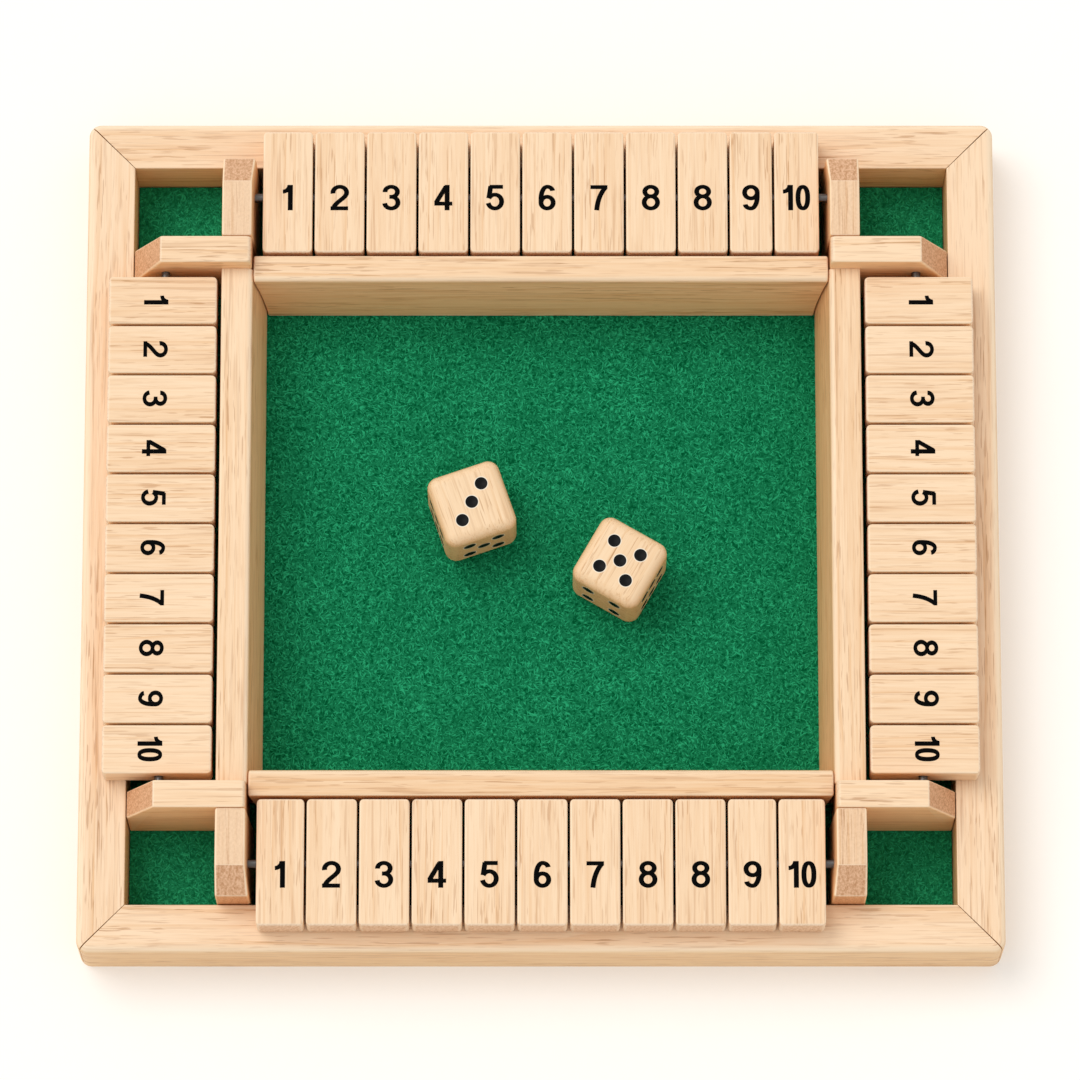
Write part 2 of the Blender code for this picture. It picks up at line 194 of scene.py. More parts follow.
def eased_outline(corners, radii, steps=6):
    """Rounds a polygon. At each corner an arc of its radius touches both edges, and a point on each edge just
    past the arc holds the flat there; a corner of radius nought stays one point. Gives the points in turn,
    and for each how far round an edge it lies, which sets edge wear and painted edge shading: 1 halfway round an
    arc, 0 on the flat."""
    corners = np.asarray(corners, float)
    radii = np.asarray(radii, float)[:, None]
    before = np.roll(corners, 1, 0) - corners
    after = np.roll(corners, -1, 0) - corners
    before /= np.linalg.norm(before, axis=1)[:, None]
    after /= np.linalg.norm(after, axis=1)[:, None]
    half = np.arccos(np.clip((before * after).sum(1), -1, 1))[:, None] / 2
    first = corners + before * radii / np.tan(half)
    side = np.sign(after[:, :1] * before[:, 1:] - after[:, 1:] * before[:, :1])
    inward = np.stack([-after[:, 1], after[:, 0]], 1) * side
    last = corners + after * radii / np.tan(half)
    centre = last + inward * radii
    start = first - centre
    share = np.linspace(0, 1, steps + 1)
    turn = -(np.pi - 2 * half) * share * -side
    cos, sin = np.cos(turn), np.sin(turn)
    arc_x = centre[:, :1] + start[:, :1] * cos - start[:, 1:] * sin
    arc_y = centre[:, 1:] + start[:, :1] * sin + start[:, 1:] * cos
    arcs = np.stack([arc_x, arc_y], -1)
    arcs = np.concatenate([(first + before * edge_hold)[:, None], arcs, (last + after * edge_hold)[:, None]], 1)
    worn = np.concatenate([[0], np.sin(np.pi * share), [0]]) * np.ones((len(corners), 1))
    kept = (radii > 0) | (np.arange(steps + 3) == 1)
    return arcs[kept], (worn * (radii > 0))[kept]


def grid_faces(rows, columns, rows_close=False, columns_close=False):
    """The squares of a grid whose points are numbered along its rows. A way that closes joins its last line of
    points to its first."""
    row, column = np.meshgrid(
        np.arange(rows if rows_close else rows - 1),
        np.arange(columns if columns_close else columns - 1),
        indexing="ij",
    )
    next_row, next_column = (row + 1) % rows, (column + 1) % columns
    squares = [row * columns + column, row * columns + next_column]
    squares += [next_row * columns + next_column, next_row * columns + column]
    return np.stack(squares, -1).reshape(-1, 4)


def with_ends(squares, rows, columns):
    """A grid's squares, closed by one face over its first row and one over its last."""
    last = np.arange(columns) + (rows - 1) * columns
    return squares.tolist() + [np.arange(columns)[::-1].tolist(), last.tolist()]


def turned(points, quarters):
    """Points turned about the upright axis by so many quarter turns, anticlockwise from above."""
    cos, sin = ((1, 0), (0, 1), (-1, 0), (0, -1))[quarters % 4]
    x, y, z = np.moveaxis(np.asarray(points, float), -1, 0)
    return np.stack([x * cos - y * sin, x * sin + y * cos, z], -1)


def make_piece(name, points, faces, finish, slot, body="box", stands_for=(), smooth=35, **marks):
    """Makes a piece of the game from its points and faces. The faces are turned over if they would enclose a
    negative volume about the piece's middle, so that they point outwards. Marks are values kept on the points,
    and one more, upright, is 1 less the size of the point's upward facing."""
    points = np.asarray(points, float).reshape(-1, 3)
    squares = np.array([face[:4] for face in faces if len(face) <= 4 or len(faces) < 9])
    a, b, c, d = np.moveaxis(points[squares] - points.mean(0), 1, 0)
    enclosed = (np.cross(a, b) * c).sum() + (np.cross(a, c) * d).sum()
    if enclosed < 0:
        faces = [face[::-1] for face in faces]
    mesh = bpy.data.meshes.new(name)
    mesh.from_pydata(points.tolist(), [], faces)
    for mark, values in marks.items():
        values = np.asarray(values, np.float32)
        kind, key = ("FLOAT_VECTOR", "vector") if values.size == points.size else ("FLOAT", "value")
        mesh.attributes.new(mark, kind, "POINT").data.foreach_set(key, values.ravel())
    facing = np.zeros(points.size, np.float32)
    mesh.vertices.foreach_get("normal", facing)
    upright = 1 - np.abs(facing.reshape(-1, 3)[:, 2])
    mesh.attributes.new("upright", "FLOAT", "POINT").data.foreach_set("value", upright)
    mesh.shade_smooth()
    mesh.set_sharp_from_angle(angle=math.radians(smooth))
    mesh.materials.append(finish)
    piece = bpy.data.objects.new(name, mesh)
    bpy.context.scene.collection.objects.link(piece)
    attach(piece, body)
    if stands_for:
        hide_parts(*stands_for)
    return piece


def sawn_from(points, along, number, slant=0.9):
    """Where each point lies in the log that its piece was sawn from, along the grain first and then out from
    the pith. Every number is another place in the log: further along it by the golden share, and round it."""
    points = np.asarray(points, float).reshape(-1, 3)
    middle = (points.max(0) + points.min(0)) / 2
    others = [axis for axis in (0, 1, 2) if axis != along]
    local = (points - middle)[:, [along, *others]]
    share = (number * 0.618034) % 1
    angle = slant + 0.5 * (share - 0.5)
    far = 0.085 + 0.05 * ((number * 0.381966) % 1)
    return local + np.array([3.1 * share, far * math.cos(angle), far * math.sin(angle)])


def drawn_out(tap, place, counts, detail=2.0, rough=0.5):
    """Noise drawn out along the grain: the place is multiplied by counts per metre along, across and up."""
    stretched = tap.node("VectorMath", {"operation": "MULTIPLY"}, {0: place, 1: counts})
    return tap.node("TexNoise", (), {"Vector": stretched, "Scale": 1.0, "Detail": detail, "Roughness": rough})


def pine_finish(name, pale, deep, line, end, rim, side_shade, roughness):
    """Lacquered pine. Growth rings are the distance from the pith, cut into equal widths and set wandering by
    slow noise; fibres are fine noise drawn out along the grain, and pores are short dark dashes where finer
    noise is high. A piece's tone makes it deeper all over. End grain shows as specks instead. Rounded edges
    are smoother with wear and lean towards the rim colour, a painted highlight where it is paler than the wood,
    and upright faces are multiplied by the side shade colour, a painted shade with warm bounce light in it."""
    finish, shader, tap = new_finish(name, roughness, Specular_IOR_Level=0.3)
    log = tap.node("Attribute", {"attribute_name": "grain"}, output="Vector")
    ends = tap.node("Attribute", {"attribute_name": "end_grain"}, output="Fac").between(0.30, 0.62)
    worn = tap.node("Attribute", {"attribute_name": "worn"}, output="Fac")
    tone = tap.node("Attribute", {"attribute_name": "tone"}, output="Fac")
    upright = tap.node("Attribute", {"attribute_name": "upright"}, output="Fac").between(0.25, 0.9)
    across = tap.node("VectorMath", {"operation": "MULTIPLY"}, {0: log, 1: (0, 1, 1)})
    distance = tap.node("VectorMath", {"operation": "LENGTH"}, {0: across}, output="Value")
    wander = drawn_out(tap, log, (6, 42, 42), 2.0)
    ring = tap.math("FRACT", (distance + wander * 0.009) / 0.0026) ** 4.0
    broad = drawn_out(tap, log, (4, 105, 105), 1.0).between(0.3, 0.7)
    patch = drawn_out(tap, log, (18, 190, 190), 1.0).between(0.40, 0.64)
    fibre = drawn_out(tap, log, (38, 1300, 1300), 2.0, 0.6)
    pores = drawn_out(tap, log, (95, 1900, 1900), 1.0, 0.5).between(0.60, 0.65) * (patch * 0.75 + 0.25)
    streaks = drawn_out(tap, log, (24, 820, 820), 1.0, 0.5).between(0.60, 0.67) * (broad * 0.6 + 0.4)
    depth = broad * 0.36 + ring * patch * 0.75 + fibre.between(0.36, 0.66) * 0.42 + tone - 0.12
    face = (pores * 0.54 + streaks * 0.40).tint(depth.between(0, 1).tint(pale, deep), line)
    speck = drawn_out(tap, log, (1000, 1500, 1500), 3.0, 0.7)
    sawn = (speck.between(0.38, 0.64) * 0.75 + ring * 0.20).tint(end, line)
    # Painted highlight: rounded edges lean towards the rim colour, which stands in for light caught on them where
    # it is paler than the wood.
    colour = (worn * 0.5).tint(ends.tint(face, sawn), rim)
    # Painted shade: upright faces are multiplied by the side shade colour, standing in for shade and warm bounce
    # light on the sides.
    colour = tap.node("Mix", {"data_type": "RGBA", "blend_type": "MULTIPLY"}, {0: upright, 6: colour, 7: side_shade}, 2)
    height = fibre * 0.5 - pores * 0.8 - ring * 0.3 + ends * speck * 1.6
    bump = tap.node("Bump", (), {"Strength": 0.20, "Distance": 0.00012, "Height": height})
    polish = fibre * 0.16 + ends * 0.16 - worn * 0.10 + (roughness - 0.08)
    feed(shader, Base_Color=colour, Roughness=polish, Normal=bump)
    return finish


frame_rabbet_lap = 0.006
frame_rabbet_top = 0.004
frame_top_round = 0.0025
frame_corner_round = 0.004
frame_edge_ease = 0.0005
frame_foot_ease = 0.0003
frame_mitre_gap = 0.0002
frame_corner_margin = 0.0008

frame_pine = pine_finish(
    "frame_pine",
    pale=daylight(251, 221, 187),
    deep=daylight(236, 193, 148),
    line=daylight(184, 130, 84),
    end=daylight(232, 192, 158),
    # rim is a painted highlight on rounded edges, side_shade a painted shade on upright faces
    rim=daylight(255, 235, 206),
    side_shade=daylight(241, 230, 206),
    roughness=0.46,
)


def frame_rail(side, quarters, half_run, half_reach, width, height, number, tone):
    """A frame rail. Its section is carried along the frame's rounded outline, drawn in by as much as the
    section point lies inside it, from one mitre to the other: level along the run, then a circle's arc round
    the corner whose radius shrinks by that much too."""
    lap_start = width - frame_rabbet_lap
    corners = [(0, 0), (lap_start, 0), (lap_start, frame_rabbet_top)]
    corners += [(width, frame_rabbet_top), (width, height), (0, height)]
    radii = [frame_edge_ease, frame_foot_ease, 0, frame_foot_ease, frame_edge_ease, frame_top_round]
    section, worn = eased_outline(corners, radii)
    inward, up = section[:, :1], section[:, 1:]
    bend = np.maximum(frame_corner_round - inward, 0)
    straight = half_run - frame_corner_round
    mitre = straight + np.where(bend > 0, bend / math.sqrt(2), frame_corner_round - inward)
    mitre = mitre - frame_mitre_gap / math.sqrt(2)
    corner = bend / math.sqrt(2) + frame_corner_margin
    share = np.linspace(0, 1, 12)[1:]
    run = np.concatenate(
        [
            -(mitre - corner * (1 - share[::-1])),
            np.linspace(-1, 1, 61) * (mitre - corner),
            mitre - corner * (1 - share),
        ],
        axis=1,
    )
    past = np.maximum(np.abs(run) - straight, 0)
    rounded = half_reach - frame_corner_round + np.sqrt(np.maximum(bend**2 - past**2, 0))
    reach = np.where(bend > 0, rounded, half_reach - inward)
    points = np.stack([run, reach, up + 0 * run], -1)
    rows, columns = run.T.shape
    points = np.swapaxes(points, 0, 1)
    log = sawn_from(np.stack([run.T, inward.T + 0 * run.T, up.T + 0 * run.T], -1), 0, number)
    make_piece(
        "frame_" + side,
        turned(points, quarters),
        with_ends(grid_faces(rows, columns, columns_close=True), rows, columns),
        frame_pine,
        "frame_wood",
        stands_for=["frame_rail_" + side],
        grain=log,
        end_grain=np.zeros(rows * columns),
        worn=np.tile(worn, rows),
        tone=np.full(rows * columns, tone),
    )


back_low, back_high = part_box("frame_rail_back")
right_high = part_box("frame_rail_right")[1]
for side, quarters, tone in (("back", 0, 0.0), ("left", 1, -0.16), ("front", 2, 0.0), ("right", 3, -0.16)):
    halves = (right_high.x, back_high.y) if quarters % 2 == 0 else (back_high.y, right_high.x)
    frame_rail(side, quarters, *halves, back_high.y - back_low.y, back_high.z, 1 + quarters, tone)


# Base board
# A sheet of thin plywood let into the frame's rabbet, left bare underneath. The outer veneer is peeled, so
# its figure runs in broad flames, and the cut edge shows the plies.
plywood, plywood_shader, tap = new_finish("plywood", 0.7, Specular_IOR_Level=0.3)
place = tap.node("TexCoord", output="Object")
flame = drawn_out(tap, place, (7, 34, 34), 2.0)
flames = tap.math("FRACT", flame * 9.0) ** 1.6
veneer_fibre = drawn_out(tap, place, (60, 900, 900), 3.0, 0.6)
veneer_pores = drawn_out(tap, place, (150, 2400, 2400), 1.0).between(0.62, 0.74)
figure = (flames * 0.45 + veneer_fibre * 0.5).tint(daylight(222, 190, 148), daylight(188, 146, 101))
board_colour = (veneer_pores * 0.5).tint(figure, daylight(140, 98, 62))
board_bump = tap.node("Bump", (), {"Strength": 0.25, "Distance": 0.0002, "Height": veneer_fibre - veneer_pores})
feed(plywood_shader, Base_Color=board_colour, Roughness=veneer_fibre * 0.2 + 0.58, Normal=board_bump)
frame["nodes"]["base_board"].material_slots[0].material = plywood


# Felt
# One millimetre of green wool felt, cut to the frame's inner walls and glued over the whole board, so that it
# shows in the dice tray and in the four corner pockets, whose felt is painted lighter against the shade of their
# walls. Its short fibres are matted.
def rectangle_loop(half_across, half_up, radius, turns, across_points, up_points):
    """A rounded rectangle, anticlockwise: four arcs joined by straight runs of points that crowd a little
    towards the arcs. Gives the points, and the angle at which the outline faces at each."""

    def run(count):
        spread = np.linspace(0, 1, count + 2)[1:-1]
        spread[0], spread[-1] = edge_hold / half_across, 1 - edge_hold / half_across
        return spread[:, None]

    corners = np.array([(1, 1), (-1, 1), (-1, -1), (1, -1)]) * (half_across - radius, half_up - radius)
    points, facing = [], []
    for quarter, (corner, count) in enumerate(zip(corners, (across_points, up_points) * 2)):
        angle = (quarter + np.linspace(0, 1, turns + 1)) * np.pi / 2
        arc = corner + radius * np.stack([np.cos(angle), np.sin(angle)], 1)
        outward = np.array([np.cos(angle[-1]), np.sin(angle[-1])])
        following = corners[(quarter + 1) % 4] + radius * outward
        points += [arc, arc[-1] + (following - arc[-1]) * run(count)]
        facing += [angle, np.full(count, angle[-1])]
    return np.concatenate(points), np.concatenate(facing)


felt_wool, felt_shader, tap = new_finish("felt_wool", 0.95, Specular_IOR_Level=0.0)
place = tap.node("TexCoord", output="Object")
curl = tap.node("TexNoise", (), {"Vector": place, "Scale": 260.0, "Detail": 1.0}, output="Color")
curled = tap.node("VectorMath", {"operation": "MULTIPLY_ADD"}, {0: curl, 1: (0.0022,) * 3, 2: place})
wool = tap.node("TexNoise", (), {"Vector": place, "Scale": 1100.0, "Detail": 2.0}).between(0.36, 0.66) * 0.42
strand_size = (0.0018, 0.00048, 0.00048)
for heading in range(12, 192, 36):
    shift = (0.01 * heading, 0, 0)
    lie = {"Location": shift, "Rotation": (0, 0, math.radians(heading)), "Scale": strand_size}
    laid = tap.node("Mapping", {"vector_type": "TEXTURE"}, {"Vector": curled, **lie})
    strand = tap.node("TexNoise", (), {"Vector": laid, "Scale": 1.0, "Detail": 0.0}).between(0.62, 0.80)
    wool = tap.math("MAXIMUM", wool, strand)
cloudy = tap.node("TexNoise", (), {"Vector": place, "Scale": 60.0, "Detail": 3.0})
# Painted light: the felt in the corner pockets is made lighter, to offset the shade of their high walls.
fresh = tap.node("Attribute", {"attribute_name": "fresh"}, output="Fac")
wool = wool * (cloudy.between(0.25, 0.75) * 0.3 + 0.8) + fresh * 0.12
felt_colour = wool.between(0, 1).tint(daylight(0, 82, 46), daylight(44, 168, 117))
felt_bump = tap.node("Bump", (), {"Strength": 0.45, "Distance": 0.0002, "Height": wool})
feed(felt_shader, Base_Color=felt_colour, Normal=felt_bump)

felt_low, felt_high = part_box("felt_sheet")
felt_half = (felt_high - felt_low) / 2
felt_middle = (felt_high + felt_low) / 2
felt_edge_round = 0.0003
felt_rounding_room = 0.001
felt_swell = 0.00003
pocket_starts = (0.100, 0.091)
loop, facing = rectangle_loop(felt_half.y, felt_half.z, felt_edge_round, 3, 150, 3)
edge_turn = np.linspace(0, np.pi / 2, 4)
setback = felt_edge_round * (1 - np.sin(edge_turn))[::-1]
drawn_in = felt_edge_round * (1 - np.cos(edge_turn))[::-1]
flat_run = np.linspace(-1, 1, 171)[1:-1] * (felt_half.x - felt_rounding_room)
run = np.concatenate([-felt_half.x + setback, flat_run, (felt_half.x - setback)[::-1]])
drawn = np.concatenate([drawn_in, 0 * flat_run, drawn_in[::-1]])
thin = 1 - drawn[:, None] / felt_half.z
felt_points = np.stack(
    [
        run[:, None] + 0 * loop[:, 0],
        loop[:, 0] * (1 - drawn[:, None] / felt_half.y),
        felt_middle.z + loop[:, 1] * thin,
    ],
    -1,
)
swell = np.sin(felt_points[..., 0] * 410 + 1.3) * np.sin(felt_points[..., 1] * 365 + 0.4)
swell = swell + 0.6 * np.sin(felt_points[..., 0] * 173 - felt_points[..., 1] * 211)
felt_points[..., 2] += np.where(facing == np.pi / 2, felt_swell * (swell - 1.6), 0)
rows, columns = felt_points.shape[:2]
in_pocket = (np.abs(felt_points[..., :2]) > pocket_starts).all(-1)
felt_cloth = make_piece(
    "felt_cloth",
    felt_points,
    with_ends(grid_faces(rows, columns, columns_close=True), rows, columns),
    felt_wool,
    "felt",
    stands_for=["felt_sheet"],
    # painted light in the corner pockets
    fresh=in_pocket,
)


# Inner rails
# Four pine rails glued on the felt fence off the dice tray. The inner face is moulded: a rounded shoulder, then
# a face that swells out to a wider foot. The back and front rails' ends are scribed to the side rails' faces.
def shrunk(corners, amount):
    """A polygon drawn in: every edge moves inwards by the amount, so that a corner moves along its bisector."""
    corners = np.asarray(corners, float)
    onward = np.roll(corners, -1, 0) - corners
    onward /= np.linalg.norm(onward, axis=1)[:, None]
    inward = np.stack([-onward[:, 1], onward[:, 0]], 1)
    earlier = np.roll(inward, 1, 0)
    return corners + amount * (earlier + inward) / (1 + (earlier * inward).sum(1))[:, None]


def planed(corners, radii, ease, reach, steps=5):
    """A length of wood with the given section, its ends eased: the section is carried along, and at each end
    it draws in as it goes round a quarter circle of the ease. Reach gives half the length at each point's
    height, so that an end may be scribed. Gives the points, their edge wear and painted edge shading, and how far
    each faces endwise."""
    turn = np.linspace(0, np.pi / 2, steps + 1)
    setback = np.concatenate([[0], ease * (1 - np.sin(turn))[::-1], [ease + edge_hold]])
    inset = np.concatenate([[ease + edge_hold], ease * (1 - np.cos(turn))[::-1], [0]])
    edge = np.concatenate([[0], np.sin(2 * turn), [0]])
    endwise = np.concatenate([[1], np.sin(turn)[::-1], [0]])
    rows, worn, ends = [], [], []
    for back, draw, rim, end in zip(setback, inset, edge, endwise):
        section, soft = eased_outline(shrunk(corners, draw), radii)
        run = reach(section[:, 1]) - back
        rows.append(np.column_stack([run, section]))
        worn.append(np.maximum(soft, rim))
        ends.append(np.full(len(section), end))
    middle = [rows[-1] * (share, 1, 1) for share in np.linspace(1, -1, 31)[1:-1]]
    other = [row * (-1, 1, 1) for row in rows[::-1]]
    still = [worn[-1]] * len(middle)
    flat = [ends[-1]] * len(middle)
    points = np.array(rows + middle + other)
    return points, np.array(worn + still + worn[::-1]), np.array(ends + flat + ends[::-1])


rail_top_ease = 0.0007
rail_shoulder = 0.002
rail_bend = 1.7
rail_end_ease = 0.0007
side_rail_swell = 0.0037
long_rail_swell = 0.0029
rail_joint = 0.0003

rail_pine = pine_finish(
    "rail_pine",
    pale=daylight(251, 220, 184),
    deep=daylight(235, 190, 143),
    line=daylight(180, 126, 80),
    end=daylight(230, 186, 150),
    # rim is a painted highlight on rounded edges, side_shade a painted shade on upright faces
    rim=daylight(255, 235, 206),
    side_shade=daylight(255, 233, 206),
    roughness=0.44,
)

side_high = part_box("tray_rail_right")[1]
long_low, long_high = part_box("tray_rail_back")
rail_foot = long_low.z
rail_top = long_high.z
side_rail_outer = 0.105
side_rail_inner = 0.0948
block_front = 0.087


def moulded_face(inner, swell, height):
    """How far from the tray's middle a rail's inner face is at a height: at the inner line under the shoulder,
    then nearer by the swell times 1 less the remaining share of the height to the power of the bend."""
    under = rail_top - rail_shoulder
    share = np.clip((under - height) / (under - rail_foot), 0, 1)
    return inner - swell * (1 - (1 - share) ** rail_bend)


def inner_rail(name, quarters, outer, inner, swell, reach, stands_for, number, tone):
    """An inner rail: its flat top and foot, an eased outer edge, the shoulder and the moulded face."""
    heights = np.linspace(rail_top - rail_shoulder, rail_foot, 15)[1:]
    face = np.stack([moulded_face(inner, swell, heights), heights], 1)
    corners = np.concatenate([[(outer, rail_foot), (outer, rail_top), (inner, rail_top)], face])
    radii = [0, rail_top_ease, rail_shoulder] + [0] * len(face)
    points, worn, endwise = planed(corners, radii, rail_end_ease, reach)
    rows, columns = points.shape[:2]
    make_piece(
        name,
        turned(points, quarters),
        with_ends(grid_faces(rows, columns, columns_close=True), rows, columns),
        rail_pine,
        "rail_wood",
        stands_for=stands_for,
        smooth=40,
        grain=sawn_from(points, 0, number, slant=0.6),
        end_grain=endwise,
        worn=worn,
        tone=np.full(rows * columns, tone),
    )


def to_the_blocks(height):
    return np.full(len(height), block_front - rail_joint / 2)


def to_the_side_rails(height):
    return moulded_face(side_rail_inner, side_rail_swell, height) - rail_joint


long_inner = long_low.y + long_rail_swell
for side, quarters, number, tone in (("left", 1, 11, -0.1), ("right", 3, 12, 0.12)):
    sizes = (side_rail_outer, side_rail_inner, side_rail_swell)
    inner_rail("inner_rail_" + side, quarters, *sizes, to_the_blocks, ["tray_rail_" + side], number, tone)
for side, quarters, number, tone in (("back", 0, 13, -0.04), ("front", 2, 14, 0.25)):
    sizes = (long_high.y, long_inner, long_rail_swell)
    inner_rail("inner_rail_" + side, quarters, *sizes, to_the_side_rails, ["tray_rail_" + side], number, tone)


# Corner blocks
# Two pine blocks at each corner hold the rods' ends: one lies across from the side rail to the frame, the
# other runs on along the side rail's line. Each is sawn at a slant at its outer end, which bares the end grain.
block_top = side_high.z
block_thickness = 0.009
block_chamfer_run = 0.0093
cross_block_drop = 0.017
end_block_drop = 0.005
block_ease = 0.0007
cross_block_start = 0.0950
end_block_half_width = 0.0049
end_block_top = block_top - 0.0002
end_block_splay = 0.0016
cross_block_splay = 0.0017
block_tone = -0.14


def corner_block(name, start, length, middle, half_width, top, drop, splay, corner, number):
    """A block: its side view, with the slanted end, carried across its thickness between eased sides. The side
    that looks towards the row of tiles leans out below: down to a third of the height it moves by the splay
    times the sine of a quarter turn, eased in from the top."""
    crosswise = drop == cross_block_drop
    corners = [
        (start, rail_foot),
        (start + length, rail_foot),
        (start + length, top - drop),
        (start + length - block_chamfer_run, top),
        (start, top),
    ]
    inner_round = 0.0016 if crosswise else 0.0005
    radii = [0.0003, 0.0003, 0.0008, 0.0009, inner_round]

    def reach(height):
        return np.full(len(height), half_width)

    points, worn, sideways = planed(corners, radii, block_ease, reach)
    rows, columns = points.shape[:2]
    along = np.roll(points[..., 1], -1, 1) - np.roll(points[..., 1], 1, 1)
    rise = np.roll(points[..., 2], -1, 1) - np.roll(points[..., 2], 1, 1)
    steep = np.abs(rise) / np.maximum(np.hypot(along, rise), 1e-9)
    flat = 1 - sideways
    fall = np.clip((top - 0.001 - points[..., 2]) / 0.012, 0, 1)
    near_side = np.clip(0.5 - points[..., 0] / (2 * half_width), 0, 1)
    leant = points.copy()
    leant[..., 0] -= splay * np.sin(fall * np.pi / 2) * near_side
    if crosswise:
        local = leant[..., [1, 0, 2]] + (0, middle, 0)
        log = sawn_from(points[..., [1, 0, 2]], 0, number, slant=0.5)
        end_grain = steep * flat
    else:
        local = leant + (middle, 0, 0)
        log = sawn_from(points, 1, number, slant=0.2)
        end_grain = (0.40 + 0.50 * steep) * flat
    make_piece(
        name,
        local * (*corner, 1),
        with_ends(grid_faces(rows, columns, columns_close=True), rows, columns),
        rail_pine,
        "rail_wood",
        stands_for=["tray_rail_" + ("right" if corner[0] > 0 else "left")],
        smooth=40,
        grain=log,
        end_grain=end_grain,
        worn=worn,
        tone=np.full(rows * columns, block_tone),
    )


cross_block_length = side_high.x - cross_block_start
end_block_start = block_front + block_thickness + rail_joint / 2
end_block_length = side_high.y - end_block_start
end_block_middle = (side_rail_outer + side_rail_inner) / 2
for index, (x, y) in enumerate(((-1, 1), (1, 1), (-1, -1), (1, -1))):
    label = ("back_" if y > 0 else "front_") + ("right" if x > 0 else "left")
    middle = block_front + block_thickness / 2
    sizes = (cross_block_start, cross_block_length, middle, block_thickness / 2, block_top, cross_block_drop)
    corner_block("cross_block_" + label, *sizes, cross_block_splay if y > 0 else 0, (x, y), 21 + index)
    sizes = (end_block_start, end_block_length, end_block_middle, end_block_half_width, end_block_top)
    corner_block("end_block_" + label, *sizes, end_block_drop, end_block_splay, (x, y), 31 + index)


# Hinge rods
# Four lengths of bright steel wire, three millimetres thick, lie in blind holes in the blocks and run through
# every tile of a row. Drawn wire has fine rings of scratches round it, and its cut ends are filed round.
wire_steel, steel_shader, tap = new_finish("wire_steel", 0.3, Metallic=1.0)
place = tap.node("TexCoord", output="Object")
scratch = drawn_out(tap, place, (2400, 2400, 300), 3.0, 0.6)
steel_colour = scratch.tint(daylight(88, 88, 89), daylight(124, 124, 123))
steel_bump = tap.node("Bump", (), {"Strength": 0.1, "Distance": 0.00005, "Height": scratch})
feed(steel_shader, Base_Color=steel_colour, Roughness=scratch * 0.25 + 0.22, Normal=steel_bump)

rod_end_round = 0.0004
for row, quarters in (("back", 0), ("left", 1), ("front", 2), ("right", 3)):
    low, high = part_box("rod_" + row)
    middle, half = (low + high) / 2, (high - low) / 2
    half_length = max(half.x, half.y)
    turn = np.linspace(np.pi / 2, 0, 5)
    setback = rod_end_round * (1 - np.sin(turn))
    drawn_in = rod_end_round * (1 - np.cos(turn))
    straight = np.linspace(0.98, -0.98, 60) * half_length
    station = np.concatenate([half_length - setback, straight, (setback - half_length)[::-1]])[:, None]
    radius = np.concatenate([half.z - drawn_in, half.z + 0 * straight, (half.z - drawn_in)[::-1]])[:, None]
    around = np.linspace(0, 2 * np.pi, 32, endpoint=False)
    points = np.stack([station + 0 * around, radius * np.cos(around), radius * np.sin(around)], -1)
    points = turned(points, quarters) + np.array(middle)
    rows, columns = points.shape[:2]
    faces = with_ends(grid_faces(rows, columns, columns_close=True), rows, columns)
    make_piece("hinge_rod_" + row, points, faces, wire_steel, "rod_steel", stands_for=["rod_" + row])


# Number tiles
# Forty-two pine tiles, eleven in each long row and ten in each side row, drilled crosswise for the rod. The
# edges are rounded, more so at the corners in plan, and the end grain shows at both ends.
tile_edge_round = 0.0006
tile_plan_round = 0.0014
tile_end_round = 0.0008
tile_hole_radius = 0.0018
tile_hole_ease = 0.00025

tile_pine = pine_finish(
    "tile_pine",
    pale=daylight(251, 221, 186),
    deep=daylight(238, 196, 152),
    line=daylight(194, 142, 96),
    end=daylight(240, 206, 176),
    # rim is a painted highlight on rounded edges, side_shade a painted shade on upright faces
    rim=daylight(255, 238, 212),
    side_shade=daylight(255, 252, 246),
    roughness=0.45,
)


